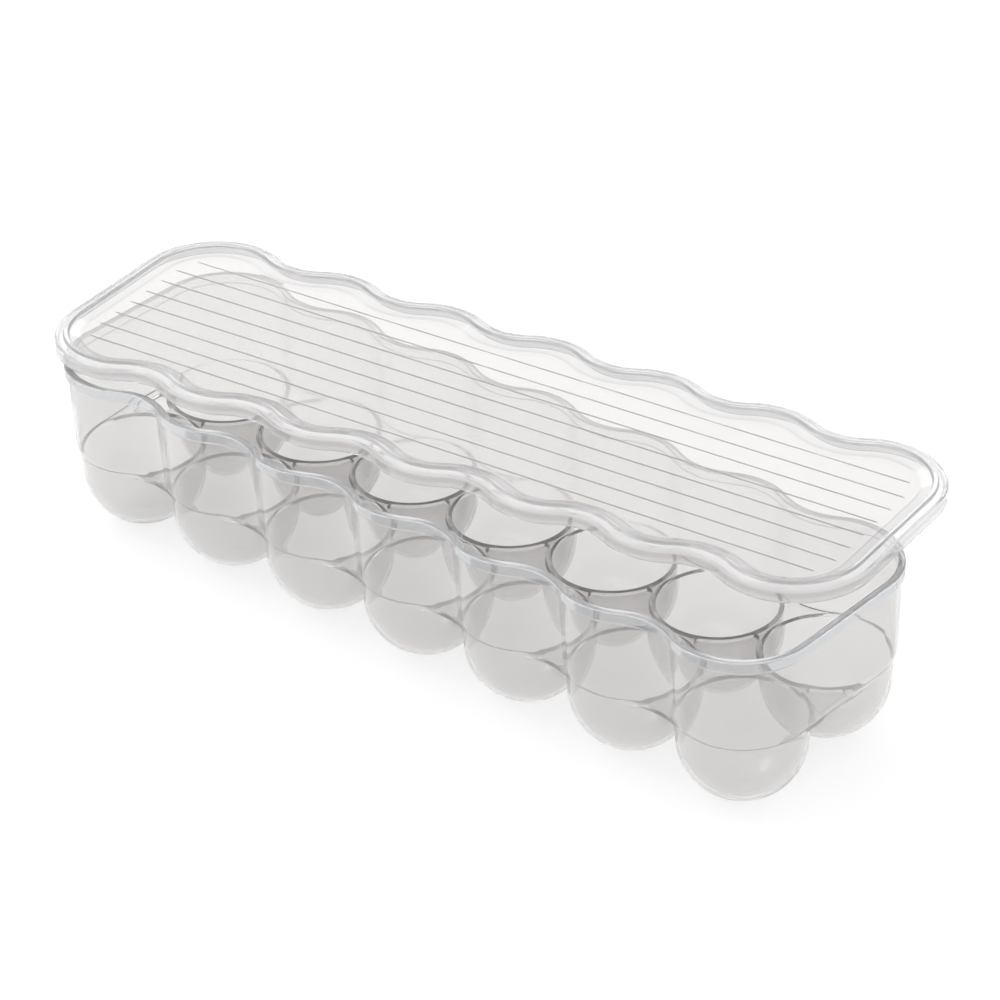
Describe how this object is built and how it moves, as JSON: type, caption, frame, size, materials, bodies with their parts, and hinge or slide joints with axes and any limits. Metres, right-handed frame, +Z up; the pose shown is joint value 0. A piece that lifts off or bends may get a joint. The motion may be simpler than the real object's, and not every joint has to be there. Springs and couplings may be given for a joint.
{
  "type": "egg holder tray",
  "caption": "Clear plastic egg holder: two rows of round cups under a scalloped wall, with a loose scalloped lid lying askew on its rim.",
  "frame": {"origin": "the middle of the tray, between its two rows of cups, in the plane of the flat feet under the cups", "axes": "+X along the rows of cups to the right end, +Y across them to the back, +Z up"},
  "size_m": [0.3837, 0.1557, 0.0819],
  "materials": {
    "clear_tray": "clear, glossy moulded plastic, faintly grey",
    "clear_lid": "clear, glossy moulded plastic, faintly milky"
  },
  "bodies": {
    "tray": {"cup_front_1": "clear_tray", "cup_front_2": "clear_tray", "cup_front_3": "clear_tray", "cup_front_4": "clear_tray", "cup_front_5": "clear_tray", "cup_front_6": "clear_tray", "cup_front_7": "clear_tray", "cup_back_1": "clear_tray", "cup_back_2": "clear_tray", "cup_back_3": "clear_tray", "cup_back_4": "clear_tray", "cup_back_5": "clear_tray", "cup_back_6": "clear_tray", "cup_back_7": "clear_tray", "deck": "clear_tray", "wall_front": "clear_tray", "wall_back": "clear_tray", "wall_left": "clear_tray", "wall_right": "clear_tray", "rim_front": "clear_tray", "rim_back": "clear_tray", "rim_left": "clear_tray", "rim_right": "clear_tray"},
    "lid": {"lid_panel": "clear_lid", "lid_ribs": "clear_lid", "lid_shoulder_front": "clear_lid", "lid_shoulder_back": "clear_lid", "lid_shoulder_left": "clear_lid", "lid_shoulder_right": "clear_lid", "lid_edge_front": "clear_lid", "lid_edge_back": "clear_lid", "lid_edge_left": "clear_lid", "lid_edge_right": "clear_lid"}
  },
  "joints": [
    {"name": "lid_lift", "type": "slide", "parent": "tray", "child": "lid", "axis": [0, 0, 1], "range_m": [0, 0.12]}
  ]
}
